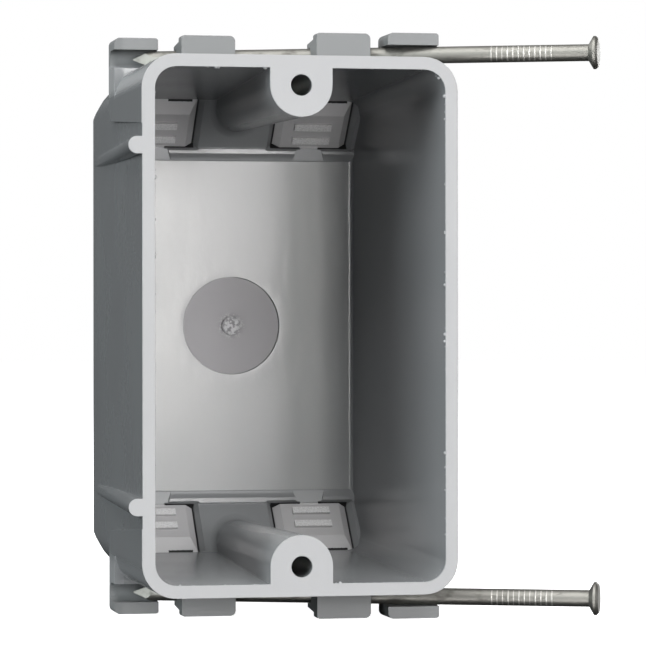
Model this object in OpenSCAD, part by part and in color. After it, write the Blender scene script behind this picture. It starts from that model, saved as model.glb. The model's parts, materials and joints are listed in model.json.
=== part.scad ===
// Single-gang outlet box for new construction: one moulded housing that is
// nailed to the side of a stud by two nails held in guides above and below it.
// X runs across the box with the stud at -X, Y runs from the rim into the
// wall, and Z is up. The origin is midway between the two device screws, in
// the plane of the rim.

/* [Shell] */
// Width across the rim
body_w = 55.6; // [52:0.2:62]
// Height of the rim
body_h = 93.7; // [92:0.1:104]
// Depth from the rim to the back face
body_d = 73; // [60:0.5:84]
// Thickness of the side, top and bottom walls
wall = 2.2; // [1.8:0.1:2.8]
// Thickness of the back wall
back_t = 2.2; // [1.6:0.1:3]
// Outer radius of the four long corners
corner_r = 6; // [4.5:0.25:7.5]
// Taper of the two side walls, in degrees
side_draft = 0.95; // [0.5:0.05:1.2]
// Taper of the top and bottom walls, in degrees
end_draft = 1.2; // [0.8:0.05:1.5]
// Taper of the cavity beyond that of the outside, in degrees
core_draft = 0.35; // [0.2:0.05:0.5]
// Fillet between the cavity's walls and its floor
floor_fillet = 0.9; // [0.5:0.1:1.4]

/* [Device screws] */
// Distance between the two device screws
screw_pitch = 83.34; // [82:0.01:84]
// Pilot hole for a 6-32 device screw
pilot_d = 3.7; // [3:0.1:4.2]
// Depth of the pilot holes
pilot_depth = 27; // [15:1:45]
// Radius of a screw boss at the rim
boss_r = 5.5; // [4.5:0.1:6.2]
// Taper of a screw boss, in degrees
boss_draft = 0.9; // [0.5:0.1:1.2]
// Radius of the fillet round the foot of a boss
boss_fillet = 1.5; // [0.8:0.1:2]

/* [Cable clamps] */
// Drop from the top edge of the rim to the inner edge of a clamp
clamp_drop = 12.5; // [11.5:0.1:14]
// Thickness of the slanted clamp wall
clamp_t = 2; // [1.6:0.1:2.4]
// Distance between the centres of the two clamp flaps of a pair
flap_pitch = 30.1; // [28:0.1:31]
// Width of a clamp flap
flap_w = 14.6; // [12:0.1:15]
// Width of the slit round a flap, on the inside
slit = 0.45; // [0.3:0.05:0.7]
// Width to which the slit narrows near the outer face
slit_out = 0.1; // [0.1:0.05:0.3]
// Thickness of the outer layer in which the slit is narrow
slit_skin = 0.8; // [0.4:0.1:0.8]
// Width of the open gaps at the tip of a flap
tip_gap = 0.6; // [0.4:0.05:0.8]
// Width of the middle of the tip, between its two gaps
tip_bridge = 3; // [2:0.1:4]
// Distance from the side of a flap to the gap at its tip
tip_gap_side = 1.2; // [0.8:0.1:2]
// Width of the neck that holds a flap
neck_w = 3.5; // [2.5:0.1:5]
// Width of the notch in front of the neck, at the floor
notch_w = 6.4; // [5:0.1:7.5]
// Height of the neck's ramp above the floor, where it starts
ramp_lift = 0.1; // [0.05:0.05:0.3]
// Length of the two grip ribs on a flap
grip_l = 7.2; // [5:0.1:9]
// Width of a grip rib
grip_w = 1.5; // [1:0.1:2]
// Height of a grip rib above the flap
grip_h = 0.6; // [0.3:0.1:1]
// Distance between the two grip ribs
grip_pitch = 3.4; // [2.6:0.1:4]
// Distance from the inner edge of a flap to its first grip rib
grip_start = 2.3; // [1.8:0.1:3]
// Length of the bevel at the tip of a flap
tip_bevel = 3.6; // [2.5:0.1:4.2]
// Width of the bevel along each side of a flap
side_bevel = 1.5; // [1:0.1:2]
// Depth to which the bevels thin the edge of a flap
bevel_depth = 1.25; // [0.8:0.05:1.5]
// Height of the stiffening ledge beside the clamps
ledge_h = 1.2; // [0.8:0.1:1.8]
// Width of the flat crown of the ledge
ledge_w = 0.9; // [0.6:0.1:1.4]
// Foot of the ledge's sloping side
ledge_slope = 1.4; // [1:0.1:2]

/* [Floor of the box] */
// Diameter of the round well in the middle of the back
well_d = 18.8; // [14:0.2:24]
// Depth of the round well
well_depth = 0.8; // [0.4:0.1:1.2]
// Diameter of the moulding gate mark in the well
gate_d = 3.6; // [2:0.1:5]
// Height of the gate mark
gate_h = 0.4; // [0.2:0.1:0.7]

/* [Nails] */
// Shank diameter of a nail
nail_d = 3; // [2.6:0.1:3.6]
// Length of a nail over its head
nail_len = 85; // [80:0.5:90]
// Diameter of a nail head
head_d = 5.9; // [5.4:0.1:7]
// Thickness of a nail head at its middle
head_t = 1.3; // [0.9:0.1:1.8]
// Length of the point
point_l = 5; // [4:0.25:7]
// Width of the point's pyramid at its base, as a share of the shank's
point_flare = 1.35; // [1.1:0.05:1.6]
// Width left at the end of the point
point_tip = 0.2; // [0.1:0.05:0.4]
// Angle between a nail and the rim, in degrees
nail_angle = 22.2; // [18:0.1:26]
// Distance from the side of the rim to the top of the nail head
nail_reach = 26.8; // [24:0.2:30]
// Depth of the middle of the nail head behind the rim
nail_inset = 4.5; // [3.5:0.1:7]
// Gap between a nail and the top of the rim
nail_gap = 0.1; // [0.05:0.05:0.4]

/* [Nail guides] */
// Height of the guides above the rim
guide_h = 5.4; // [5:0.1:7]
// Gap between a nail and its guides
guide_gap = 0.15; // [0.1:0.05:0.4]
// Thickness of the wall of a guide beside the nail
guide_t = 1.6; // [1.2:0.1:2.4]
// How far the roof of a rear guide reaches in front of the nail's middle
guide_lip = 1; // [0.2:0.1:1.6]
// Thickness of the roof of a front guide where it starts
front_roof_t = 1.2; // [0.8:0.1:1.8]
// Fall of that roof towards the back
front_roof_fall = 0.5; // [0:0.1:0.7]
// How far the full height of a front guide reaches back
front_post_d = 3.3; // [2.4:0.1:4]
// Centre of the front guide nearer the stud
front_guide_a = -11.9; // [-13:0.1:-11]
// Centre of the front guide farther from the stud
front_guide_b = 11; // [9.5:0.1:11.5]
// Width of a front guide
front_guide_w = 9.8; // [8:0.1:10.2]
// Width of the rear guide at the stud side
rear_guide_a_w = 8; // [6.5:0.1:8.4]
// Width of the rear guide at the far side
rear_guide_b_w = 9.3; // [8:0.1:9.6]
// Radius of the guides' upper edges
guide_edge = 1; // [0.5:0.1:1.4]
// Radius with which the flanks of a front guide run out at their foot
guide_flare = 1.3; // [0.6:0.1:1.6]

/* [Stud side] */
// How far the corner pads stand proud of the stud-side wall
pad_proud = 0.1; // [0.05:0.05:0.6]
// Height of a corner pad, down from the top of the rim
pad_drop = 12; // [10:0.5:15]
// How much shorter the pad is at its rear
pad_rise = 2.6; // [0:0.1:4]
// Radius of the pad's rear corner
pad_edge = 2.5; // [1.5:0.1:3]
// Height of the two gauge tabs above and below the middle
gauge_z = 31.1; // [26:0.1:32]
// Width of a gauge tab
gauge_w = 3; // [2.4:0.1:4]
// How far a gauge tab stands out at the rim
gauge_proud = 2.4; // [1.8:0.1:3.2]
// Slope of the cheeks' rear edges, depth for each unit of height
cheek_slope = 3.4; // [2:0.1:4.5]
// Drop from the top of the rim to where the cheeks' rear edges start
cheek_drop = 7.2; // [6.5:0.1:9.5]
// How far the cheeks stand proud of the clamp wall's outer face
cheek_proud = 0.4; // [0.2:0.1:0.8]

/* [Hidden] */

$fn = 64;
hull_fn = 32;
eps = 0.01;
over = 1;

pvc_grey = [0.60, 0.61, 0.62];
nail_steel = [0.62, 0.60, 0.57];

top_z = body_h / 2;
screw_z = screw_pitch / 2;
floor_y = body_d - back_t;
core_side_draft = side_draft + core_draft;
core_end_draft = end_draft + core_draft;

// The clamp wall: its inner face leaves the ledge at (clamp_y, clamp_z) and
// rises towards the rim at 45 degrees until it meets the cavity's end wall.
clamp_angle = 45;
clamp_z = top_z - clamp_drop;
clamp_y = floor_y - ledge_h + slit / 2;
clamp_run = (top_z - wall - clamp_y * tan(core_end_draft) - clamp_z)
    / (1 - tan(core_end_draft)) / sin(clamp_angle);
flap_l = clamp_run - slit / 2;
ledge_z = clamp_z - slit / 2;
cheek_x = body_w / 2 - wall - floor_y * tan(core_side_draft);

stud_x = -body_w / 2 - pad_proud;
channel_r = nail_d / 2 + guide_gap;
nail_z = top_z + nail_gap + nail_d / 2;
nail_x = body_w / 2 + nail_reach;
guide_z = top_z + guide_h;
pad_d = rear_guide_back(stud_x);
guide_root_z = (half_h(pad_d) + core_half_h(0)) / 2;

function half_w(y) = body_w / 2 - y * tan(side_draft);
function half_h(y) = top_z - y * tan(end_draft);
function core_half_w(y) = body_w / 2 - wall - y * tan(core_side_draft);
function core_half_h(y) = top_z - wall - y * tan(core_end_draft);
function boss_half_w(y) = boss_r - y * tan(boss_draft);
function nail_y(x) = nail_inset + (nail_x - x) * tan(nail_angle);
function front_guide_y(x) = nail_y(x + front_guide_w / 2) - channel_r - guide_t;
function rear_guide_back(x) = nail_y(x) + channel_r + guide_t;

// A thin slice, facing the rim, of a block with four round corners.
module slice(hw, hh, r, y) {
    for (sx = [-1, 1], sz = [-1, 1])
        translate([sx * (hw - r), y + eps, sz * (hh - r)])
            rotate([90, 0, 0]) cylinder(r = r, h = eps, $fn = hull_fn);
}

// The same feature at the top and at the bottom of the box.
module top_and_bottom() {
    children();
    mirror([0, 0, 1]) children();
}

// A profile drawn in depth and height, run across the box from x0 to x1.
module across(x0, x1) {
    translate([x0, 0, 0]) rotate([90, 0, 90]) linear_extrude(x1 - x0) children();
}

// A profile drawn in width and height, run back from depth y0 to y1.
module back_from(y0, y1) {
    translate([0, y1, 0]) rotate([90, 0, 0]) linear_extrude(y1 - y0) children();
}

module outer_block() {
    hull() {
        slice(half_w(0), half_h(0), corner_r, 0);
        slice(half_w(body_d), half_h(body_d), corner_r, body_d - 2 * eps);
    }
}

// The cavity's walls, open at the rim, with a fillet at the floor.
module core_block() {
    inner_r = corner_r - wall;
    hull() {
        slice(core_half_w(-over), core_half_h(-over), inner_r, -over);
        for (a = [0, 30, 60, 90]) {
            inset = floor_fillet * (1 - cos(a));
            y = floor_y - floor_fillet * (1 - sin(a)) - eps;
            slice(core_half_w(y) - inset, core_half_h(y) - inset, inner_r - inset / 2, y);
        }
    }
}

// The solid beyond the clamp wall's inner face, where the cavity ends.
module clamp_solid() {
    reach = 2 * clamp_drop;
    across(-body_w, body_w)
        polygon([[clamp_y, clamp_z], [clamp_y - reach, clamp_z + reach], [clamp_y + reach, clamp_z + reach],
                 [clamp_y + reach, clamp_z]]);
}

module ledge_solid() {
    across(-body_w, body_w)
        polygon([[floor_y + over, ledge_z - ledge_w - ledge_slope], [floor_y, ledge_z - ledge_w - ledge_slope],
                 [floor_y - ledge_h, ledge_z - ledge_w], [floor_y - ledge_h, ledge_z],
                 [clamp_y, clamp_z], [floor_y + over, clamp_z]]);
}

// A tapered boss that runs from the rim to the clamp wall, joined to the wall.
module screw_boss() {
    tip_r = boss_half_w(floor_y);
    translate([0, 0, screw_z]) {
        rotate([-90, 0, 0]) cylinder(r1 = boss_r, r2 = tip_r, h = floor_y);
        linear_extrude(top_z - screw_z)
            polygon([[-boss_r, 0], [boss_r, 0], [tip_r, floor_y], [-tip_r, floor_y]]);
    }
}

// The fillet round the foot of a boss: a quarter round, open to the cavity,
// swept down one side of the boss, round its underside and up the other side.
// Out is measured away from the boss, and ahead from the clamp wall to the rim.
module boss_foot() {
    step = 12;
    lap = 0.06;
    edge = 8;
    foot_r = boss_half_w(clamp_y + clamp_z - screw_z);
    end_z = core_half_h(0);
    section = concat(
        [for (a = [edge : (90 - 2 * edge) / 5 : 90 - edge])
            [boss_fillet * (1 - sin(a)) - lap, boss_fillet * (1 - cos(a)) - lap]],
        [[-over, boss_fillet * (1 - sin(edge)) - lap], [-over, -over],
         [boss_fillet * (1 - sin(edge)) - lap, -over]]);
    route = concat(
        [[-1, 0, end_z]],
        [for (t = [-90 : step : 90]) [sin(t), -cos(t), screw_z]],
        [[1, 0, end_z]]);
    n = len(section);
    points = [for (p = route, s = section)
        let (z = p[2] + (foot_r + s[0]) * p[1])
            [(foot_r + s[0]) * p[0], clamp_y + clamp_z - z - s[1], z]];
    last = len(points) - n;
    sides = [for (i = [0 : len(route) - 2], k = [0 : n - 1])
        let (a = i * n + k, b = i * n + (k + 1) % n) each [[a, a + n, b + n], [a, b + n, b]]];
    ends = [[for (k = [0 : n - 1]) k], [for (k = [n - 1 : -1 : 0]) last + k]];
    polyhedron(points, concat(sides, ends), convexity = 4);
}

// Everything that is hollow inside the box.
module cavity() {
    difference() {
        core_block();
        top_and_bottom() {
            clamp_solid();
            ledge_solid();
            screw_boss();
            boss_foot();
        }
    }
    translate([0, floor_y - over, 0]) rotate([-90, 0, 0])
        cylinder(d = well_d, h = over + well_depth);
}

// The frame of a clamp's inner face: X across, Y up the slope, Z into the box.
module on_clamp(x) {
    translate([x, clamp_y, clamp_z]) rotate([90 + clamp_angle, 0, 0]) children();
}

// One depth of the slit round a flap, left out at the neck.
module flap_outline(width, low, high) {
    translate([0, 0, low]) linear_extrude(high - low) difference() {
        translate([-flap_w / 2 - width / 2, -width / 2]) square([flap_w + width, flap_l + width]);
        translate([-flap_w / 2 + width / 2, width / 2]) square([flap_w - width, flap_l - width]);
        translate([-neck_w / 2, -width]) square([neck_w, 2 * width]);
    }
}

module flap_slit() {
    flap_outline(slit, slit_skin - clamp_t, over);
    flap_outline(slit_out, -clamp_t - over, slit_skin - clamp_t + eps);
}

// The two gaps at the tip of a flap, one each side of its middle.
module tip_gaps() {
    gap_w = flap_w / 2 - tip_gap_side - tip_bridge / 2;
    for (s = [0, 1])
        mirror([s, 0, 0])
            translate([tip_bridge / 2, flap_l - tip_gap + slit / 4, -clamp_t - over])
                cube([gap_w, tip_gap, clamp_t + 2 * over]);
}

// The bevels that thin a flap at its tip and along its two sides.
module flap_bevels() {
    tip_angle = atan(bevel_depth / tip_bevel);
    side_angle = atan(bevel_depth / side_bevel);
    span = 2 * flap_w;
    translate([-flap_w / 2, flap_l - tip_bevel, 0]) rotate([-tip_angle, 0, 0])
        cube([flap_w, tip_bevel / cos(tip_angle), clamp_t]);
    for (s = [0, 1])
        mirror([s, 0, 0])
            translate([flap_w / 2 - side_bevel, -slit / 2, 0]) rotate([0, side_angle, 0])
                cube([side_bevel / cos(side_angle), flap_l + slit / 2, clamp_t]);
}

module grip_ribs() {
    for (i = [0, 1])
        translate([-grip_l / 2, grip_start + i * grip_pitch - grip_w / 2, -eps])
            cube([grip_l, grip_w, grip_h + eps]);
}

// The notch that lets the neck through the ledge, widening towards the floor,
// with a ramp that rises from the floor to the clamp wall.
module neck_notch(x) {
    foot_z = ledge_z - ledge_w - ledge_slope;
    crest_z = clamp_z + slit;
    crest_w = neck_w + 2 * slit;
    front_y = floor_y - ledge_h - over;
    foot = [floor_y - ramp_lift, foot_z];
    crest = [clamp_y - slit / 4, clamp_z + slit / 4];
    beyond = 2 * crest - foot;
    before = 2 * foot - crest;
    intersection() {
        back_from(front_y, floor_y)
            polygon([[x - notch_w / 2, foot_z], [x + notch_w / 2, foot_z],
                     [x + crest_w / 2, crest_z], [x - crest_w / 2, crest_z]]);
        across(x - notch_w, x + notch_w)
            polygon([before, beyond, [front_y - over, beyond[1]], [front_y - over, before[1]]]);
    }
}

// Outside, the clamp wall is a slanted recess between the two side cheeks.
module clamp_recess() {
    skin = clamp_t / cos(clamp_angle);
    reach = 2 * clamp_drop;
    across(-cheek_x, cheek_x)
        polygon([[clamp_y + skin + over, clamp_z - over], [clamp_y + skin - reach, clamp_z + reach],
                 [body_d + reach, clamp_z + reach], [body_d + reach, clamp_z - over]]);
}

// The cheeks' rear edges slope forward until they meet the slope of the clamp
// wall, and follow it from there.
module cheek_edge() {
    low_z = top_z - cheek_drop;
    skin_y = clamp_y + (clamp_t + cheek_proud) / cos(clamp_angle);
    meet_z = low_z + (body_d - skin_y + low_z - clamp_z) / (cheek_slope - 1);
    meet_y = skin_y + clamp_z - meet_z;
    reach = 2 * clamp_drop;
    across(-body_w, body_w)
        polygon([[body_d + over, low_z - over / cheek_slope], [meet_y, meet_z],
                 [meet_y - reach, meet_z + reach], [body_d + over, meet_z + reach]]);
}

// The stud-side corner stands proud of the tapered wall as a flat pad.
module corner_pad() {
    rear_z = top_z - pad_drop + pad_rise;
    intersection() {
        back_from(0, pad_d) {
            translate([stud_x, 0]) square([wall, top_z - corner_r]);
            intersection() {
                translate([stud_x + corner_r, top_z - corner_r]) circle(r = corner_r);
                translate([stud_x, top_z - corner_r]) square(corner_r);
            }
        }
        across(stud_x - over, 0) {
            difference() {
                polygon([[0, top_z - pad_drop], [pad_d, rear_z], [pad_d, top_z + over], [0, top_z + over]]);
                difference() {
                    translate([pad_d - pad_edge, rear_z - over]) square(pad_edge + over);
                    translate([pad_d - pad_edge, rear_z + pad_edge]) circle(r = pad_edge);
                    translate([pad_d - pad_edge - over, rear_z + pad_edge]) square(pad_edge + 2 * over);
                }
            }
        }
    }
}

// A round-ended tab at the rim that fades into the wall towards the back.
module gauge_rib() {
    tip_x = -body_w / 2 - gauge_proud + gauge_w / 2;
    end_x = -half_w(body_d) + gauge_w / 2;
    run = atan((end_x - tip_x) / body_d);
    intersection() {
        translate([tip_x, 0, gauge_z]) rotate([-90, 0, -run])
            translate([0, 0, -over]) linear_extrude(body_d + 2 * over) {
                circle(d = gauge_w);
                translate([0, -gauge_w / 2]) square([gauge_proud, gauge_w]);
            }
        translate([-body_w, 0, gauge_z - gauge_w]) cube([body_w, body_d, 2 * gauge_w]);
    }
}

// The frame of the upper nail: Z along the shank from the top of the head to
// the point, X up, and Y to the rear side of the nail.
module on_nail() {
    translate([nail_x, nail_inset, nail_z]) rotate([0, -90, -nail_angle]) children();
}

// Room for the nail, opened to the rear (side 1) or to the front (side -1).
module nail_channel(side) {
    on_nail() {
        cylinder(r = channel_r, h = nail_len + body_w);
        translate([-channel_r, side > 0 ? 0 : -body_d, 0])
            cube([2 * channel_r, body_d, nail_len + body_w]);
    }
}

// Front view of a guide: square at its root, with round upper edges, and with
// flanks that run out in a curve at their foot where a flare is given.
module guide_face(x0, x1, r0, r1, flare) {
    foot_z = half_h(front_guide_y(0));
    difference() {
        translate([x0 - flare, guide_root_z]) square([x1 - x0 + 2 * flare, guide_z - guide_root_z]);
        for (e = [[x0, 1, r0], [x1, -1, r1]])
            translate([e[0], 0]) mirror([e[1] < 0 ? 1 : 0, 0]) {
                translate([0, guide_z]) difference() {
                    translate([-over, -e[2]]) square(e[2] + over);
                    translate([e[2], -e[2]]) circle(r = e[2]);
                }
                if (flare > 0) {
                    translate([-flare, foot_z + flare]) circle(r = flare);
                    translate([-flare - over, foot_z + flare]) square([flare + over, guide_h]);
                }
            }
    }
}

// A front guide stands before the nail, and its roof slopes back over it.
module front_guide(x) {
    x0 = x - front_guide_w / 2;
    x1 = x + front_guide_w / 2;
    front_y = front_guide_y(x);
    step_y = front_y + front_post_d;
    foot_y = nail_y(x1) - channel_r / 2;
    rear_y = nail_y(x0) + channel_r;
    roof_z = nail_z + channel_r + front_roof_t;
    difference() {
        intersection() {
            back_from(front_y, rear_y) guide_face(x0, x1, guide_edge / 2, guide_edge, guide_flare);
            across(x0 - guide_flare - over, x1 + guide_flare + over)
                polygon([[front_y, guide_root_z], [front_y, guide_z], [step_y, guide_z],
                         [step_y, roof_z], [rear_y, roof_z - front_roof_fall], [rear_y, nail_z],
                         [foot_y, nail_z], [foot_y, guide_root_z]]);
        }
        nail_channel(1);
    }
}

// A rear guide stands behind the nail and reaches forward over it. Its outer
// end is flush with the side of the box and runs down round the corner.
module rear_guide(x0, x1, r0, r1) {
    front_y = nail_y(x1) - guide_lip;
    rear_y = rear_guide_back(x0);
    outer = x0 < 0 ? x0 : x1 - corner_r;
    difference() {
        union() {
            back_from(front_y, rear_y) guide_face(x0, x1, r0, r1, 0);
            translate([outer, front_y, top_z - corner_r])
                cube([corner_r, rear_y - front_y, corner_r]);
        }
        nail_channel(-1);
    }
}

module nail_guides() {
    front_guide(front_guide_a);
    front_guide(front_guide_b);
    rear_guide(stud_x, stud_x + rear_guide_a_w, guide_edge, guide_edge / 2);
    rear_guide(body_w / 2 - rear_guide_b_w, body_w / 2, guide_edge, guide_edge / 2);
}

module box() {
    color(pvc_grey) {
        difference() {
            union() {
                difference() {
                    outer_block();
                    top_and_bottom() {
                        clamp_recess();
                        cheek_edge();
                    }
                }
                top_and_bottom() {
                    corner_pad();
                    gauge_rib();
                    nail_guides();
                }
            }
            cavity();
            top_and_bottom() {
                translate([0, 0, screw_z]) rotate([-90, 0, 0])
                    translate([0, 0, -over]) cylinder(d = pilot_d, h = pilot_depth + over);
                for (s = [-1, 1]) {
                    on_clamp(s * flap_pitch / 2) {
                        flap_slit();
                        tip_gaps();
                        flap_bevels();
                    }
                    neck_notch(s * flap_pitch / 2);
                }
            }
        }
        top_and_bottom()
            for (s = [-1, 1])
                on_clamp(s * flap_pitch / 2) grip_ribs();
        translate([0, floor_y + well_depth - gate_h, 0]) rotate([-90, 0, 0])
            cylinder(d = gate_d, h = gate_h + eps);
    }
}

// A round nail: flat head with a conical underside, plain shank, diamond point.
module nail() {
    shank_end = nail_len - point_l;
    dome = head_t / 3;
    corner = 1 / cos(45) / 2;
    rotate_extrude()
        polygon([[0, 0], [head_d / 2 - dome, 0], [head_d / 2, dome], [head_d / 2, 2 * dome],
                 [nail_d / 2, head_t + dome], [nail_d / 2, shank_end], [0, shank_end]]);
    translate([0, 0, shank_end - eps]) intersection() {
        cylinder(d = nail_d, h = point_l + eps);
        rotate([0, 0, 45])
            cylinder(r1 = nail_d * point_flare * corner, r2 = point_tip * corner, h = point_l + eps, $fn = 4);
    }
}

module upper_nail() {
    color(nail_steel) on_nail() nail();
}

module lower_nail() {
    color(nail_steel) mirror([0, 0, 1]) on_nail() nail();
}

box();
upper_nail();
lower_nail();
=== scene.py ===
"""Looks of a single-gang outlet box for new construction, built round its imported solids.

The box is one grey moulding, with two steel nails held in guides above and below it. X runs across
the box with the stud at -X, Y runs from the rim into the wall and Z is up, all in metres.
"""

import json
import logging
import math
from dataclasses import dataclass, field
from enum import Enum
from typing import Any

import bmesh
import bpy
from mathutils import Matrix, Vector

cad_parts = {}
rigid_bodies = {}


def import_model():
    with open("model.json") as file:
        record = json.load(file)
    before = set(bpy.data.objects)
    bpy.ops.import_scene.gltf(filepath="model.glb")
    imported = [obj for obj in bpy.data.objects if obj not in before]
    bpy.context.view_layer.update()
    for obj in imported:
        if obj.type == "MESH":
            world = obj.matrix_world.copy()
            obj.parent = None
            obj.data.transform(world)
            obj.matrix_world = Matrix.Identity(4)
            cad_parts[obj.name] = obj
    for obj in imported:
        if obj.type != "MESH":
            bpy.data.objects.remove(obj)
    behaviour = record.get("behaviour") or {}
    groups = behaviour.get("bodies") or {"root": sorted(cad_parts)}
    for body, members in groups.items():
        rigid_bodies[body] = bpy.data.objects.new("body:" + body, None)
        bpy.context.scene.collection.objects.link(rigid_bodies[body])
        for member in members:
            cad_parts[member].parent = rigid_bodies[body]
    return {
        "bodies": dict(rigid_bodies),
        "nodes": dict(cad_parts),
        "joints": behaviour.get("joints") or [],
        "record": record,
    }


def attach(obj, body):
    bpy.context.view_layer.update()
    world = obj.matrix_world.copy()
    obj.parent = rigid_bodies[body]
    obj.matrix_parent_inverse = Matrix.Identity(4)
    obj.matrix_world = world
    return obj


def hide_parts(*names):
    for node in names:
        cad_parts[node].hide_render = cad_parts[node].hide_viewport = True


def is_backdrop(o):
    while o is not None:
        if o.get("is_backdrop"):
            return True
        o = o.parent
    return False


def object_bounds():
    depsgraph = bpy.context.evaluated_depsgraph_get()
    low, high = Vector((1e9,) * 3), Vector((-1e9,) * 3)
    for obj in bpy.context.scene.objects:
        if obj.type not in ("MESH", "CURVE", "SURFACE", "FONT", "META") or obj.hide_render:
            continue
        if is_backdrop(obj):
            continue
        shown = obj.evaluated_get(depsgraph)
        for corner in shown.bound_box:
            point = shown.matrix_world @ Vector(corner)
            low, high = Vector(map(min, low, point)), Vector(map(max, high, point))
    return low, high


MM = 0.001
PHOTO_SIDE = 646
ROOT = "root"

log = logging.getLogger("outlet_box")


class Slot(Enum):
    """The record's material slots."""

    PVC = "grey_pvc"
    STEEL = "nail_steel"


class Half(Enum):
    """Upper or lower half of the box, as the sign of Z."""

    UPPER = 1
    LOWER = -1


@dataclass(frozen=True)
class Housing:
    """Sizes of the moulding that the finishes and small details follow, in millimetres."""

    floor_y: float = 70.8
    clamp_y: float = 69.825
    clamp_z: float = 34.35
    flap_half_w: float = 7.3
    flap_l: float = 12.0
    gap_middle: float = 3.8
    gap_half_w: float = 2.3
    rim_half_w: float = 25.6
    rim_half_h: float = 44.65
    rim_inner_r: float = 3.8
    flap_x: float = 15.05
    grip_half_l: float = 3.6
    grip_h: float = 0.6
    well_r: float = 9.4
    gate_r: float = 1.8
    guide_z: float = 47.5
    cheek_x: float = 26.5
    cheek_z: float = 42.5


class Value:
    """A number socket of a node tree, on which Python's own operators act."""

    def __init__(self, graph: "Graph", socket: bpy.types.NodeSocket) -> None:
        """Wraps one output socket."""
        self.graph = graph
        self.socket = socket

    def _math(self, operation: str, first: Any, second: Any = None) -> "Value":
        """Adds one Math node and returns its result."""
        inputs = {0: first} if second is None else {0: first, 1: second}
        node = self.graph.node("ShaderNodeMath", {"operation": operation}, inputs)
        return Value(self.graph, node.outputs[0])

    def __add__(self, other: Any) -> "Value":
        """Sum."""
        return self._math("ADD", self, other)

    def __radd__(self, other: Any) -> "Value":
        """Sum, with the number first."""
        return self._math("ADD", other, self)

    def __sub__(self, other: Any) -> "Value":
        """Difference."""
        return self._math("SUBTRACT", self, other)

    def __rsub__(self, other: Any) -> "Value":
        """Difference, with the number first."""
        return self._math("SUBTRACT", other, self)

    def __mul__(self, other: Any) -> "Value":
        """Product."""
        return self._math("MULTIPLY", self, other)

    def __rmul__(self, other: Any) -> "Value":
        """Product, with the number first."""
        return self._math("MULTIPLY", other, self)

    def __truediv__(self, other: Any) -> "Value":
        """Quotient."""
        return self._math("DIVIDE", self, other)

    def __abs__(self) -> "Value":
        """Size without its sign."""
        return self._math("ABSOLUTE", self)

    def power(self, exponent: float) -> "Value":
        """Raised to a power."""
        return self._math("POWER", self, exponent)

    def at_most(self, other: Any) -> "Value":
        """The smaller of two values."""
        return self._math("MINIMUM", self, other)

    def at_least(self, other: Any) -> "Value":
        """The larger of two values."""
        return self._math("MAXIMUM", self, other)

    def rise(self, low: float, high: float) -> "Value":
        """Smooth step.

        Args:
            low: value at which the step leaves 0.
            high: value at which it reaches 1.

        Returns:
            A value from 0 to 1.
        """
        node = self.graph.node(
            "ShaderNodeMapRange",
            {"interpolation_type": "SMOOTHSTEP"},
            {"Value": self, "From Min": low, "From Max": high, "To Min": 0.0, "To Max": 1.0},
        )
        return Value(self.graph, node.outputs["Result"])

    def fall(self, low: float, high: float) -> "Value":
        """The smooth step turned over: 1 below low and 0 above high."""
        return 1 - self.rise(low, high)


class Graph:
    """Adds nodes and links to one node tree."""

    def __init__(self, tree: bpy.types.NodeTree) -> None:
        """Starts on an emptied tree."""
        self.tree = tree
        tree.nodes.clear()

    def node(
        self,
        kind: str,
        settings: dict[str, Any] | None = None,
        inputs: dict[int | str, Any] | None = None,
    ) -> bpy.types.Node:
        """Adds one node.

        Args:
            kind: the node's type.
            settings: its properties, set first.
            inputs: a value or a link for each socket, by index or name.

        Returns:
            The new node.
        """
        node = self.tree.nodes.new(kind)
        for name, value in (settings or {}).items():
            setattr(node, name, value)
        for key, value in (inputs or {}).items():
            self.feed(node.inputs[key], value)
        return node

    def feed(self, socket: bpy.types.NodeSocket, value: Any) -> None:
        """Links or sets one input socket."""
        if isinstance(value, Value):
            self.tree.links.new(value.socket, socket)
        elif isinstance(value, bpy.types.NodeSocket):
            self.tree.links.new(value, socket)
        else:
            socket.default_value = value

    def value(self, socket: bpy.types.NodeSocket) -> Value:
        """Wraps a number socket."""
        return Value(self, socket)

    def random(self, kind: str, inputs: dict[int | str, Any]) -> bpy.types.Node:
        """Adds a Random Value node.

        Args:
            kind: its data type.
            inputs: a value or a link for each socket, by index or name.

        Returns:
            The new node.
        """
        return self.node("FunctionNodeRandomValue", {"data_type": kind}, inputs)


class Repeat(Graph):
    """A Geometry Nodes tree with named inputs and one geometry output."""

    KINDS: dict[str, str] = {
        "Count": "NodeSocketInt",
        "Geometry": "NodeSocketGeometry",
        "Material": "NodeSocketMaterial",
        "Seed": "NodeSocketInt",
    }

    def __init__(self, name: str, inputs: tuple[str, ...]) -> None:
        """Makes the tree and its sockets.

        Args:
            name: name of the tree.
            inputs: names between Geometry and Material, which are numbers unless KINDS says otherwise.
        """
        super().__init__(bpy.data.node_groups.new(name, "GeometryNodeTree"))
        for each in ("Geometry", *inputs, "Material"):
            kind = self.KINDS.get(each, "NodeSocketFloat")
            self.tree.interface.new_socket(each, in_out="INPUT", socket_type=kind)
        self.tree.interface.new_socket("Geometry", in_out="OUTPUT", socket_type="NodeSocketGeometry")
        self.given = self.node("NodeGroupInput").outputs

    def close(self, instances: bpy.types.NodeSocket) -> bpy.types.NodeTree:
        """Makes the instances real, gives them the material and ends the tree.

        Args:
            instances: socket of the instances.

        Returns:
            The finished tree.
        """
        plain = self.node("GeometryNodeRealizeInstances", None, {0: instances})
        inputs = {"Geometry": plain.outputs[0], "Material": self.given["Material"]}
        last = self.node("GeometryNodeSetMaterial", None, inputs)
        self.node("NodeGroupOutput", None, {"Geometry": last.outputs[0]})
        return self.tree


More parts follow.
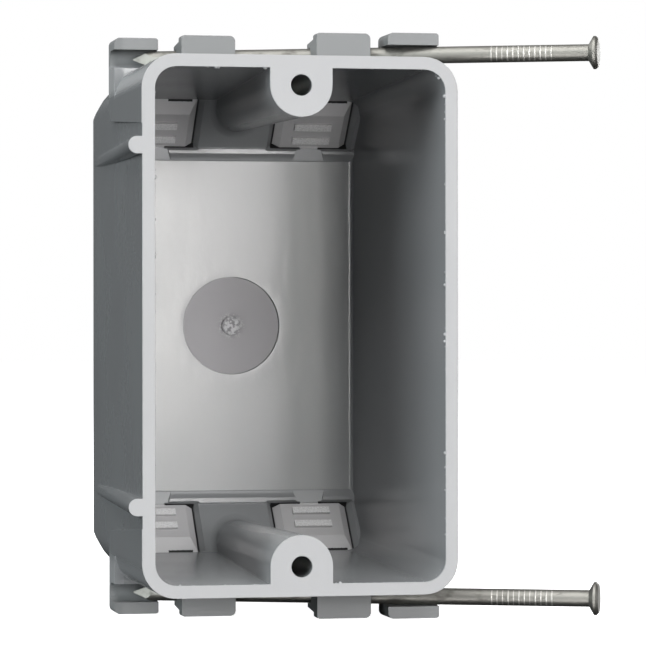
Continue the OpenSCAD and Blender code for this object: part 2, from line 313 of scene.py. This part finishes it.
class Surface(Graph):
    """The node tree of one material, with the helpers that the finishes share."""

    def __init__(self, name: str) -> None:
        """Makes an empty material with node shading."""
        self.material = bpy.data.materials.new(name)
        self.material.use_nodes = True
        super().__init__(self.material.node_tree)
        self.place = self.node("ShaderNodeTexCoord").outputs["Object"]

    def axes(self) -> tuple[Value, Value, Value]:
        """The three object coordinates in millimetres."""
        split = self.node("ShaderNodeSeparateXYZ", None, {0: self.place})
        return tuple(self.value(out) / MM for out in split.outputs)

    def stretched(self, scale: tuple[float, float, float], turn: float = 0.0) -> bpy.types.NodeSocket:
        """Object coordinates, turned about Z and then scaled.

        Args:
            scale: scale along each axis, in cells for each metre.
            turn: angle about Z, in radians.

        Returns:
            The vector socket.
        """
        settings = {"vector_type": "POINT"}
        turned = self.node("ShaderNodeMapping", settings, {"Vector": self.place, "Rotation": (0, 0, turn)})
        node = self.node("ShaderNodeMapping", settings, {"Vector": turned.outputs[0], "Scale": scale})
        return node.outputs[0]

    def noise(self, scale: float, detail: float = 2.0, roughness: float = 0.5, place: Any = None) -> Value:
        """Fractal noise around one half.

        Args:
            scale: cells for each unit of the vector.
            detail: number of octaves.
            roughness: strength of the fine octaves.
            place: vector socket, or None for object coordinates.

        Returns:
            The noise as a value.
        """
        node = self.node(
            "ShaderNodeTexNoise",
            {"noise_dimensions": "3D"},
            {"Vector": place or self.place, "Scale": scale, "Detail": detail, "Roughness": roughness},
        )
        return self.value(node.outputs["Fac"])

    def blend(self, share: Any, first: Any, second: Any) -> bpy.types.NodeSocket:
        """Mixes two colours.

        Args:
            share: share of the second colour.
            first: colour or socket.
            second: colour or socket.

        Returns:
            The mixed colour.
        """
        node = self.node("ShaderNodeMix", {"data_type": "RGBA", "blend_type": "MIX"}, {"Factor": share})
        self.feed(node.inputs[6], opaque(first))
        self.feed(node.inputs[7], opaque(second))
        return node.outputs[2]

    def bumps(self, layers: list[tuple[Value, float]], edge: float = 0.0) -> bpy.types.NodeSocket:
        """Stacks bump layers on softened edges.

        Args:
            layers: pairs of height value and depth in metres.
            edge: radius of the edges in metres, or 0 for none.

        Returns:
            The normal socket.
        """
        normal = None
        if edge > 0:
            normal = self.node("ShaderNodeBevel", {"samples": 8}, {"Radius": edge}).outputs["Normal"]
        for height, depth in layers:
            inputs = {"Height": height, "Distance": depth, "Strength": 1.0}
            if normal is not None:
                inputs["Normal"] = normal
            normal = self.node("ShaderNodeBump", None, inputs).outputs["Normal"]
        return normal

    def finish(self, **inputs: Any) -> bpy.types.Material:
        """Closes the tree with one Principled shader.

        Args:
            inputs: its sockets, with the spaces of their names as underscores.

        Returns:
            The material.
        """
        sockets = {name.replace("_", " "): value for name, value in inputs.items()}
        shader = self.node("ShaderNodeBsdfPrincipled", None, sockets)
        self.node("ShaderNodeOutputMaterial", None, {"Surface": shader.outputs[0]})
        return self.material


def opaque(colour: Any) -> Any:
    """Adds full opacity to a colour of three numbers, and passes sockets on."""
    return (*colour, 1.0) if isinstance(colour, tuple) and len(colour) == 3 else colour


@dataclass(frozen=True)
class MouldedPvc:
    """Grey PVC from a polished mould: frosted rim, duller flaps and guides, grained grips."""

    sizes: Housing = field(default_factory=Housing)
    grey: tuple[float, float, float] = (0.228, 0.230, 0.236)
    cool: tuple[float, float, float] = (0.200, 0.212, 0.216)
    rim: tuple[float, float, float] = (0.300, 0.302, 0.306)
    # Lighter flap tone: partly a different mould texture, partly painted light standing in for light from
    # below on the flaps.
    dull: tuple[float, float, float] = (0.42, 0.416, 0.422)
    grip: tuple[float, float, float] = (0.66, 0.66, 0.66)
    # Painted shade: near-black colour in the cuts round the flaps.
    slit_shade_colour: tuple[float, float, float] = (0.006, 0.006, 0.007)
    well: tuple[float, float, float] = (0.285, 0.278, 0.29)
    torn: tuple[float, float, float] = (0.62, 0.62, 0.63)
    chalk: tuple[float, float, float] = (0.160, 0.166, 0.167)
    gloss: float = 0.17
    edge: float = 0.14 * MM
    flow_scale: tuple[float, float, float] = (420.0, 90.0, 200.0)
    cloud_scale: float = 42.0
    peel_scale: float = 1500.0
    grain_scale: float = 3600.0
    flow_depth: float = 0.022 * MM
    halo_depth: float = 0.04 * MM
    peel_depth: float = 0.004 * MM
    grain_depth: float = 0.05 * MM

    def material(self) -> bpy.types.Material:
        """Builds the finish from its masks, colours and bump layers."""
        s = Surface("moulded_grey_pvc")
        d = self.sizes
        x, y, z = s.axes()
        height = abs(z)
        cloud = s.noise(self.cloud_scale)
        flow = s.noise(1.0, 3.0, 0.55, s.stretched(self.flow_scale))
        peel = s.noise(self.peel_scale)
        grain = s.noise(self.grain_scale, 3.0, 0.7)
        frost = y.fall(0.1, 0.45)
        flaps, grips, slit_shade = self.clamp_masks(x, y, height, grain)
        radius = (x * x + z * z).power(0.5)
        behind = y.rise(d.floor_y - 0.1, d.floor_y + 0.1) * y.fall(d.floor_y + 1.4, d.floor_y + 1.6)
        outer = height.rise(d.guide_z - 0.2, d.guide_z + 0.2)
        cheek = x.fall(-d.cheek_x - 0.5, 0.5 - d.cheek_x) * height.rise(d.cheek_z - 1.5, d.cheek_z + 1.5)
        floor_well = radius.fall(d.well_r - 0.25, d.well_r) * y.rise(d.floor_y + 0.2, d.floor_y + 0.5)
        floor_well = floor_well * behind
        gate = (radius + 2.6 * grain).fall(d.gate_r + 0.2, d.gate_r + 2.4) * behind
        halo = radius.rise(d.well_r, d.well_r + 0.9) * radius.fall(d.well_r + 1.2, d.well_r + 4.5) * behind
        colour = s.blend(cloud, self.grey, self.cool)
        colour = s.blend(floor_well, colour, self.well)
        colour = s.blend(outer, colour, self.chalk)
        # Painted light in part: the flaps get a lighter tone than the walls round them.
        colour = s.blend(flaps, colour, self.dull)
        colour = s.blend(grips * (0.4 + 0.6 * grain.rise(0.38, 0.58)), colour, self.grip)
        colour = s.blend(gate * peel.rise(0.42, 0.55), colour, self.torn)
        # Painted shade in the cuts round the flaps and in a dark bar past each flap tip.
        colour = s.blend(slit_shade, colour, self.slit_shade_colour)
        colour = s.blend(frost * (1 - outer) * (0.90 + 0.10 * flow), colour, self.rim)
        roughness = self.gloss + 0.10 * cloud + 0.30 * frost + 0.20 * flaps + 0.30 * grips + 0.4 * slit_shade
        roughness = roughness + 0.22 * floor_well + 0.2 * gate + 0.30 * outer
        roughness = roughness + 0.35 * cheek * (1 - frost)
        normal = s.bumps([
            (flow, self.flow_depth),
            (halo * flow, self.halo_depth),
            (peel, self.peel_depth),
            (grain * (grips + gate * 2.0 + 0.25 * frost), self.grain_depth),
        ], self.edge)
        return s.finish(Base_Color=colour, Roughness=roughness.at_most(0.8), Normal=normal)

    def clamp_masks(self, x: Value, y: Value, height: Value, grain: Value) -> tuple[Value, Value, Value]:
        """Finds the flaps, their grip ribs and the shade painted into their cuts on the slanted clamp
        walls.

        Args:
            x: place across the box, in millimetres.
            y: depth behind the rim.
            height: distance above or below the middle.
            grain: fine noise that frays the grips' edges.

        Returns:
            The masks of the flaps, of the grips and of the painted shade in the flaps' cuts and past their
            tips.
        """
        d = self.sizes
        half_root = math.sqrt(0.5)
        ahead = ((d.clamp_y - y) + (d.clamp_z - height)) * half_root
        along = ((d.clamp_y - y) + (height - d.clamp_z)) * half_root
        off_middle = abs(abs(x) - d.flap_x)
        near_wall = ahead.rise(-1.5, -1.4) * ahead.fall(0.8, 1.0)
        flaps = off_middle.fall(d.flap_half_w - 0.1, d.flap_half_w) * near_wall
        flaps = flaps * along.rise(0.0, 0.1) * along.fall(d.flap_l, d.flap_l + 0.1)
        grips = off_middle.fall(d.grip_half_l, d.grip_half_l + 0.15) * near_wall
        grips = grips * (ahead + 0.2 * (grain - 0.5)).rise(0.55 * d.grip_h, 0.8 * d.grip_h)
        # Painted shade: near-black colour along the flaps' side and foot cuts, and a dark bar painted past
        # each tip that widens the shade of the real opening.
        side = abs(off_middle - d.flap_half_w).fall(0.13, 0.2) * along.rise(-0.3, -0.2)
        foot = abs(along + 0.1).fall(0.14, 0.2) * off_middle.fall(d.flap_half_w + 0.2, d.flap_half_w + 0.3)
        painted_gap_shade = abs(off_middle - d.gap_middle).fall(d.gap_half_w, d.gap_half_w + 0.1)
        painted_gap_shade = painted_gap_shade * (along + 0.3 * grain).rise(d.flap_l - 0.95, d.flap_l - 0.85) * ahead.fall(-0.1, 0.1)
        slit_shade = (side.at_least(foot) * ahead.fall(-0.25, -0.12)).at_least(painted_gap_shade)
        slit_shade = slit_shade * ahead.rise(-2.2, -2.1) * along.fall(d.flap_l + 0.6, d.flap_l + 0.8)
        return flaps, grips * along.rise(0.5, 0.7) * along.fall(d.flap_l - 0.6, d.flap_l - 0.4), slit_shade


@dataclass(frozen=True)
class DrawnSteel:
    """Bright drawn wire with fine lengthwise scratches and a few dull stains."""

    angle: float = math.radians(22.2)
    name: str = "drawn_nail_steel"
    bright: tuple[float, float, float] = (0.27, 0.265, 0.243)
    dull: tuple[float, float, float] = (0.14, 0.132, 0.12)
    metal: float = 0.88
    scratch_scale: tuple[float, float, float] = (180.0, 5200.0, 5200.0)
    stain_scale: tuple[float, float, float] = (210.0, 420.0, 420.0)
    scratch_depth: float = 0.012 * MM
    stain_depth: float = 0.02 * MM
    edge: float = 0.1 * MM

    def material(self) -> bpy.types.Material:
        """Builds the finish."""
        s = Surface(self.name)
        scratches = s.noise(1.0, 3.0, 0.6, s.stretched(self.scratch_scale, self.angle))
        stains = s.noise(1.0, 3.0, 0.65, s.stretched(self.stain_scale, self.angle))
        worn = stains.rise(0.52, 0.72)
        colour = s.blend(worn * 0.7, self.bright, self.dull)
        roughness = 0.46 + 0.12 * worn + 0.10 * scratches
        normal = s.bumps([(scratches, self.scratch_depth), (stains, self.stain_depth)], self.edge)
        return s.finish(Base_Color=colour, Metallic=self.metal, Roughness=roughness, Normal=normal)


@dataclass(frozen=True)
class PaleFloor:
    """Even, pale studio floor."""

    shade: tuple[float, float, float] = (0.88, 0.88, 0.88)
    glow: float = 1.0

    def material(self) -> bpy.types.Material:
        """Builds the finish: mostly its own light, so that the floor stays even."""
        s = Surface("pale_floor")
        return s.finish(
            Base_Color=opaque(self.shade),
            Roughness=0.9,
            Emission_Color=(1.0, 1.0, 1.0, 1.0),
            Emission_Strength=self.glow,
        )


def link(name: str, mesh: bpy.types.Mesh) -> bpy.types.Object:
    """Puts a mesh into the scene as an object at the origin."""
    obj = bpy.data.objects.new(name, mesh)
    bpy.context.scene.collection.objects.link(obj)
    return obj


def baked(obj: bpy.types.Object) -> bpy.types.Object:
    """Turns an object's live modifiers into its plain mesh.

    Args:
        obj: the object, whose modifiers are removed.

    Returns:
        The same object.
    """
    evaluated = obj.evaluated_get(bpy.context.evaluated_depsgraph_get())
    mesh = bpy.data.meshes.new_from_object(evaluated)
    obj.modifiers.clear()
    obj.data = mesh
    return obj


def grown(obj: bpy.types.Object, tree: bpy.types.NodeTree, values: dict[str, Any]) -> bpy.types.Object:
    """Runs a Geometry Nodes tree on an object and bakes the result.

    Args:
        obj: the object that takes the new mesh.
        tree: the tree.
        values: what its named inputs get.

    Returns:
        The same object.
    """
    modifier = obj.modifiers.new(tree.name, "NODES")
    modifier.node_group = tree
    for item in tree.interface.items_tree:
        if item.in_out == "INPUT" and item.name in values:
            modifier[item.identifier] = values[item.name]
    return baked(obj)


def dressed(obj: bpy.types.Object, material: bpy.types.Material) -> bpy.types.Object:
    """Gives a finished piece its material and its body."""
    obj.data.materials.clear()
    obj.data.materials.append(material)
    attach(obj, ROOT)
    return obj


@dataclass
class FlatPatch:
    """A run of coplanar faces of a welded mesh."""

    faces: list[bmesh.types.BMFace]

    @property
    def area(self) -> float:
        """Area of the patch."""
        return sum(face.calc_area() for face in self.faces)

    @property
    def normal(self) -> Vector:
        """Mean normal, weighted by area."""
        total = Vector()
        for face in self.faces:
            total += face.normal * face.calc_area()
        return total.normalized()

    @property
    def breadth(self) -> float:
        """Mean width across its longest diagonal."""
        places = [vert.co for face in self.faces for vert in face.verts]
        low = Vector(min(place[axis] for place in places) for axis in range(3))
        high = Vector(max(place[axis] for place in places) for axis in range(3))
        return self.area / max((high - low).length, MM * MM)


@dataclass(frozen=True)
class SmoothCopy:
    """A welded copy of a CAD mesh, smooth round its curves and sharp at its edges."""

    weld: float = 0.002 * MM
    sharp: float = math.radians(26)
    flat: float = math.radians(0.15)
    broad: float = 1.6 * MM

    def build(self, source: bpy.types.Object, name: str) -> bpy.types.Object:
        """Builds the copy.

        Args:
            source: the CAD node's object, which is left as it is.
            name: name of the copy.

        Returns:
            The new object, with a plain mesh.
        """
        mesh = source.data.copy()
        mesh.materials.clear()
        bm = bmesh.new()
        bm.from_mesh(mesh)
        bmesh.ops.remove_doubles(bm, verts=bm.verts, dist=self.weld)
        bmesh.ops.dissolve_degenerate(bm, dist=self.weld, edges=bm.edges)
        bm.normal_update()
        bm.faces.index_update()
        normals = self.corner_normals(bm)
        bm.to_mesh(mesh)
        bm.free()
        mesh.shade_smooth()
        mesh.normals_split_custom_set(normals)
        return link(name, mesh)

    def patches(self, bm: bmesh.types.BMesh) -> dict[int, int]:
        """Groups the faces into coplanar patches.

        Args:
            bm: the welded mesh.

        Returns:
            The first face's index of each face's patch.
        """
        leader: dict[int, int] = {}
        for first in bm.faces:
            if first.index in leader:
                continue
            leader[first.index] = first.index
            queue = [first]
            while queue:
                face = queue.pop()
                for other in (near for edge in face.edges for near in edge.link_faces):
                    if other.index not in leader and self.apart(first, other) < self.flat:
                        leader[other.index] = first.index
                        queue.append(other)
        return leader

    @staticmethod
    def apart(face: bmesh.types.BMFace, other: bmesh.types.BMFace) -> float:
        """Angle between two faces."""
        return face.normal.angle(other.normal, math.pi)

    def corner_normals(self, bm: bmesh.types.BMesh) -> list[Vector]:
        """Works out one normal for each corner of each face.

        A corner of a broad flat patch takes the patch's own normal, a facet of a curve takes that of
        the flat patch that it runs into, and elsewhere the facets of a curve share a mean.

        Args:
            bm: the welded mesh.

        Returns:
            The normals, in the order of the mesh's loops.
        """
        leader = self.patches(bm)
        members: dict[int, list[bmesh.types.BMFace]] = {}
        for face in bm.faces:
            members.setdefault(leader[face.index], []).append(face)
        broad: dict[int, tuple[float, Vector]] = {}
        for key, faces in members.items():
            patch = FlatPatch(faces)
            if patch.breadth > self.broad:
                broad[key] = (patch.area, patch.normal)
        normals = []
        for face in bm.faces:
            own = leader[face.index]
            for loop in face.loops:
                if own in broad:
                    normals.append(broad[own][1])
                else:
                    normals.append(self.curve_normal(loop, leader, broad))
        return normals

    def curve_normal(
        self, loop: bmesh.types.BMLoop, leader: dict[int, int], broad: dict[int, tuple[float, Vector]]
    ) -> Vector:
        """Normal of one corner of a curved stretch.

        Args:
            loop: the corner.
            leader: patch of each face.
            broad: area and normal of each broad patch.

        Returns:
            The flat neighbour's normal, or the mean of the facets that meet smoothly here.
        """
        smooth = [face for face in loop.vert.link_faces if self.apart(loop.face, face) < self.sharp]
        flats = [broad[leader[face.index]] for face in smooth if leader[face.index] in broad]
        if flats:
            return max(flats, key=lambda entry: entry[0])[1]
        total = Vector(loop.face.normal) * MM
        for face in smooth:
            corner = next(other for other in face.loops if other.vert == loop.vert)
            total += face.normal * corner.calc_angle()
        return total.normalized()


@dataclass
class MouldedBox:
    """The housing: box, bosses, clamp flaps, guides, pads and tabs in one shot of plastic."""

    finish: bpy.types.Material

    def build(self, frame: dict[str, Any]) -> bpy.types.Object:
        """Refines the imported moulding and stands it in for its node."""
        piece = SmoothCopy().build(frame["nodes"]["box"], "housing")
        dressed(piece, self.finish)
        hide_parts("box")
        return piece


@dataclass
class RimFlash:
    """Crumbs of flash that the mould's parting left along the inner edge of the rim."""

    finish: bpy.types.Material
    sizes: Housing = field(default_factory=Housing)
    count: int = 340
    crumb: float = 0.42 * MM
    depth: float = 0.45 * MM
    seed: int = 11
    corner_steps: int = 8
    wander: tuple[float, float, float] = (0.9 * MM, 0.9 * MM, 0.06 * MM)
    rarity: float = 9.0
    least: tuple[float, float, float] = (0.15, 0.15, 0.4)
    growth: tuple[float, float, float] = (0.9, 0.8, 0.5)
    turn: tuple[float, float, float] = (0.5, 0.5, 6.28)

    def tree(self) -> bpy.types.NodeTree:
        """Geometry Nodes tree that scatters crumbs along a rounded rectangle.

        Returns:
            A tree with named inputs for the rectangle, the count, the crumb and the seed.
        """
        g = Repeat("rim_flash", ("Width", "Height", "Corner Radius", "Count", "Crumb", "Seed"))
        given = g.given
        frame = g.node(
            "GeometryNodeCurvePrimitiveQuadrilateral",
            {"mode": "RECTANGLE"},
            {"Width": given["Width"], "Height": given["Height"]},
        )
        edge = g.node(
            "GeometryNodeFilletCurve",
            {"mode": "POLY"},
            {"Curve": frame.outputs[0], "Radius": given["Corner Radius"], "Count": self.corner_steps},
        )
        inputs = {"Curve": edge.outputs[0], "Count": given["Count"]}
        stations = g.node("GeometryNodeCurveToPoints", {"mode": "COUNT"}, inputs)
        back = tuple(-reach for reach in self.wander)
        wander = g.random("FLOAT_VECTOR", {"Min": back, "Max": self.wander, "Seed": given["Seed"]})
        inputs = {0: wander.outputs[0], 1: stations.outputs["Tangent"]}
        pull = g.node("ShaderNodeVectorMath", {"operation": "MULTIPLY"}, inputs)
        inputs = {"Geometry": stations.outputs[0], "Offset": pull.outputs[0]}
        strays = g.node("GeometryNodeSetPosition", None, inputs)
        grain = g.node("GeometryNodeMeshIcoSphere", None, {"Radius": given["Crumb"], "Subdivisions": 2})
        chance = g.random("FLOAT", {2: 0.0, 3: 1.0, "Seed": given["Seed"]})
        odds = g.value(chance.outputs[1]).power(self.rarity)
        scales = {
            axis: least + more * odds
            for axis, least, more in zip("XYZ", self.least, self.growth)
        }
        stretch = g.node("ShaderNodeCombineXYZ", None, scales)
        turn = g.random("FLOAT_VECTOR", {"Min": (0.0, 0.0, 0.0), "Max": self.turn, "Seed": given["Seed"]})
        inputs = {
            "Points": strays.outputs[0],
            "Instance": grain.outputs[0],
            "Scale": stretch.outputs[0],
            "Rotation": turn.outputs[0],
        }
        return g.close(g.node("GeometryNodeInstanceOnPoints", None, inputs).outputs[0])

    def build(self) -> bpy.types.Object:
        """Bakes the crumbs and stands them up in the plane of the rim."""
        d = self.sizes
        piece = link("rim_flash", bpy.data.meshes.new("rim_flash"))
        values = {
            "Width": 2 * d.rim_half_w * MM,
            "Height": 2 * d.rim_half_h * MM,
            "Corner Radius": d.rim_inner_r * MM,
            "Count": self.count,
            "Crumb": self.crumb,
            "Seed": self.seed,
            "Material": self.finish,
        }
        grown(piece, self.tree(), values)
        upright = Matrix.Rotation(math.pi / 2, 4, "X")
        piece.data.transform(Matrix.Translation((0, self.depth, 0)) @ upright)
        piece.data.shade_smooth()
        return dressed(piece, self.finish)


@dataclass
class GuideNail:
    """One nail, with the marks that the gripping dies left behind its head."""

    half: Half
    finish: bpy.types.Material
    rubbed: bpy.types.Material
    head_x: float = 54.6 * MM
    head_y: float = 4.5 * MM
    line_z: float = 48.45 * MM
    angle: float = math.radians(22.2)
    shank_r: float = 1.5 * MM
    mark_start: float = 8.3 * MM
    mark_pitch: float = 0.98 * MM
    mark_seed: int = 7
    mark_sunk: float = 0.945
    mark_flat: float = 0.9
    mark_count: int = 12
    mark_r: float = 0.26 * MM
    mark_proud: float = 0.11 * MM
    mark_sweep: float = math.radians(118)

    @property
    def node(self) -> str:
        """Name of the nail's CAD node."""
        return f"{self.half.name.lower()}_nail"

    def along(self) -> Matrix:
        """Frame of the nail: Z from the top of its head to its point, X up."""
        run = Vector((-math.cos(self.angle), math.sin(self.angle), 0))
        up = Vector((0, 0, self.half.value))
        turn = Matrix((up, run.cross(up), run)).transposed().to_4x4()
        return Matrix.Translation((self.head_x, self.head_y, self.half.value * self.line_z)) @ turn

    def build(self, frame: dict[str, Any]) -> list[bpy.types.Object]:
        """Builds the nail's two pieces."""
        shank = SmoothCopy().build(frame["nodes"][self.node], f"{self.node}_wire")
        dressed(shank, self.finish)
        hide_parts(self.node)
        return [shank, self.die_marks()]

    def mark_tree(self) -> bpy.types.NodeTree:
        """Geometry Nodes tree that sets the die marks along one side of the shank.

        Returns:
            A tree with named inputs for the count, pitch, radii, sweep and seed.
        """
        g = Repeat("die_marks", ("Count", "Pitch", "Shank Radius", "Mark Radius", "Sweep", "Seed"))
        given = g.given
        step = g.node("ShaderNodeCombineXYZ", None, {"Z": given["Pitch"]})
        inputs = {"Count": given["Count"], "Offset": step.outputs[0]}
        row = g.node("GeometryNodeMeshLine", {"mode": "OFFSET"}, inputs)
        arc = g.node(
            "GeometryNodeCurveArc",
            {"mode": "RADIUS"},
            {"Resolution": 14, "Radius": given["Shank Radius"], "Sweep Angle": given["Sweep"]},
        )
        inputs = {"Resolution": 8, "Radius": given["Mark Radius"]}
        profile = g.node("GeometryNodeCurvePrimitiveCircle", {"mode": "RADIUS"}, inputs)
        inputs = {"Curve": arc.outputs[0], "Profile Curve": profile.outputs[0], "Fill Caps": True}
        ring = g.node("GeometryNodeCurveToMesh", None, inputs)
        depth = g.random("FLOAT", {2: self.mark_sunk, 3: 1.0, "Seed": given["Seed"]})
        inputs = {"X": depth.outputs[1], "Y": depth.outputs[1], "Z": self.mark_flat}
        flat = g.node("ShaderNodeCombineXYZ", None, inputs)
        inputs = {"Points": row.outputs[0], "Instance": ring.outputs[0], "Scale": flat.outputs[0]}
        return g.close(g.node("GeometryNodeInstanceOnPoints", None, inputs).outputs[0])

    def die_marks(self) -> bpy.types.Object:
        """Bakes the marks of both dies into one piece."""
        inner = self.shank_r - self.mark_r + self.mark_proud
        values = {
            "Count": self.mark_count,
            "Pitch": self.mark_pitch,
            "Shank Radius": inner,
            "Mark Radius": self.mark_r,
            "Sweep": self.mark_sweep,
            "Seed": self.mark_seed + self.half.value,
            "Material": self.rubbed,
        }
        joined = bmesh.new()
        for turn in (math.pi / 2, -math.pi / 2):
            maker = grown(link("die", bpy.data.meshes.new("die")), self.mark_tree(), values)
            spin = Matrix.Rotation(turn - self.mark_sweep / 2, 4, "Z")
            start = Matrix.Translation((0, 0, self.mark_start))
            maker.data.transform(self.along() @ start @ spin)
            joined.from_mesh(maker.data)
            bpy.data.objects.remove(maker)
        bmesh.ops.recalc_face_normals(joined, faces=joined.faces)
        mesh = bpy.data.meshes.new(f"{self.node}_die_marks")
        joined.to_mesh(mesh)
        joined.free()
        piece = link(f"{self.node}_die_marks", mesh)
        piece.data.shade_smooth()
        return dressed(piece, self.rubbed)


@dataclass(frozen=True)
class Softbox:
    """One rectangular studio light, aimed at a point."""

    name: str
    place: tuple[float, float, float]
    size: tuple[float, float]
    radiance: float
    tint: tuple[float, float, float] = (1.0, 1.0, 1.0)
    aim: tuple[float, float, float] = (0.0, 0.03, 0.0)

    def build(self) -> None:
        """Adds the light with the power that gives it its radiance."""
        data = bpy.data.lights.new(self.name, "AREA")
        data.shape = "RECTANGLE"
        data.size, data.size_y = self.size
        data.energy = self.radiance * math.pi * self.size[0] * self.size[1]
        data.color = self.tint
        lamp = bpy.data.objects.new(self.name, data)
        lamp.location = self.place
        lamp.rotation_euler = (Vector(self.aim) - Vector(self.place)).to_track_quat("-Z", "Y").to_euler()
        bpy.context.scene.collection.objects.link(lamp)


@dataclass
class Studio:
    """Floor, backdrop light, softboxes and camera."""

    floor_finish: bpy.types.Material
    lights: tuple[Softbox, ...] = (
        Softbox("panel_key", (0.076, -1.0, 0.021), (0.14, 0.21), 34.0, (1.0, 0.985, 0.955)),
        Softbox("panel_side", (0.33, -1.0, 0.065), (0.22, 0.25), 12.0, (1.0, 0.97, 1.0)),
        Softbox("upper_key", (0.19, -1.0, 0.155), (0.26, 0.08), 12.0),
        Softbox("right_fill", (0.60, -1.0, 0.10), (0.45, 0.8), 4.0, (0.97, 0.98, 1.0)),
        Softbox("low_front", (-0.05, -0.90, -0.55), (1.0, 0.40), 7.5, (1.0, 0.99, 1.0)),
        Softbox("high_front", (-0.05, -0.80, 0.70), (1.0, 0.45), 5.5),
        Softbox("top_fill", (-0.05, -0.25, 0.80), (0.8, 0.5), 4.0),
        Softbox("left_fill", (-0.9, -0.35, 0.1), (0.6, 0.8), 7.5, (0.92, 0.98, 1.0)),
        Softbox("back_left", (-0.75, 0.90, 0.35), (0.5, 0.5), 5.0),
        Softbox("back_right", (0.75, 0.90, 0.15), (0.5, 0.5), 5.0),
    )
    camera_yaw: float = math.radians(11.42)
    camera_roll: float = math.radians(-0.06)
    camera_place: tuple[float, float, float] = (-0.1127, -0.5765, 0.0005)
    focal_px: float = 3396.0
    sensor: float = 36.0
    floor_reach: float = 4.0

    def build(self, floor_z: float) -> None:
        """Builds the studio round the object.

        Args:
            floor_z: height of the floor.
        """
        self.pale_world()
        self.floor(floor_z)
        for light in self.lights:
            light.build()
        self.camera()

    def pale_world(self) -> None:
        """White surroundings that only the camera sees."""
        world = bpy.data.worlds.new("white_surround")
        world.use_nodes = True
        g = Graph(world.node_tree)
        back = g.node("ShaderNodeBackground", None, {"Color": (1.0, 1.0, 1.0, 1.0), "Strength": 1.0})
        g.node("ShaderNodeOutputWorld", None, {"Surface": back.outputs[0]})
        world.cycles_visibility.diffuse = False
        world.cycles_visibility.glossy = False
        bpy.context.scene.world = world
        bpy.context.scene.view_settings.view_transform = "Standard"

    def floor(self, height: float) -> None:
        """Adds the floor as one large square."""
        reach = self.floor_reach
        signs = ((-1, -1), (1, -1), (1, 1), (-1, 1))
        square = [(reach * across, reach * ahead, height) for across, ahead in signs]
        mesh = bpy.data.meshes.new("floor")
        mesh.from_pydata(square, [], [(0, 1, 2, 3)])
        mesh.materials.append(self.floor_finish)
        floor = link("floor", mesh)
        floor.visible_diffuse = False
        floor.visible_glossy = False
        floor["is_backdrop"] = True

    def camera(self) -> None:
        """Adds the camera, level and a little to the left of the box."""
        data = bpy.data.cameras.new("camera")
        data.sensor_width = self.sensor
        data.lens = self.focal_px / PHOTO_SIDE * self.sensor
        data.clip_start = 0.01
        camera = bpy.data.objects.new("camera", data)
        turn = Matrix.Rotation(-self.camera_yaw, 4, "Z") @ Matrix.Rotation(math.pi / 2, 4, "X")
        camera.matrix_world = (
            Matrix.Translation(self.camera_place) @ turn @ Matrix.Rotation(self.camera_roll, 4, "Z")
        )
        bpy.context.scene.collection.objects.link(camera)
        bpy.context.scene.camera = camera


def corners(bounds: tuple[Vector, Vector]) -> list[list[float]]:
    """A box's two corners as plain lists."""
    return [list(corner) for corner in bounds]


def main() -> None:
    """Builds the pieces in order."""
    logging.basicConfig(level=logging.INFO, format="%(name)s: %(message)s")
    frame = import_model()
    cad_box = corners(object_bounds())
    pvc = MouldedPvc().material()
    steel = DrawnSteel().material()
    rubbed = DrawnSteel(
        name="rubbed_nail_steel", bright=(0.52, 0.51, 0.48), dull=(0.30, 0.29, 0.27)
    ).material()
    housing = MouldedBox(pvc).build(frame)
    log.info("%s: %d faces", housing.name, len(housing.data.polygons))
    flash = RimFlash(pvc).build()
    log.info("%s: %d faces", flash.name, len(flash.data.polygons))
    for half in Half:
        for piece in GuideNail(half, steel, rubbed).build(frame):
            log.info("%s: %d faces", piece.name, len(piece.data.polygons))
    Studio(PaleFloor().material()).build(floor_z=cad_box[0][2])


if __name__ == "__main__":
    main()
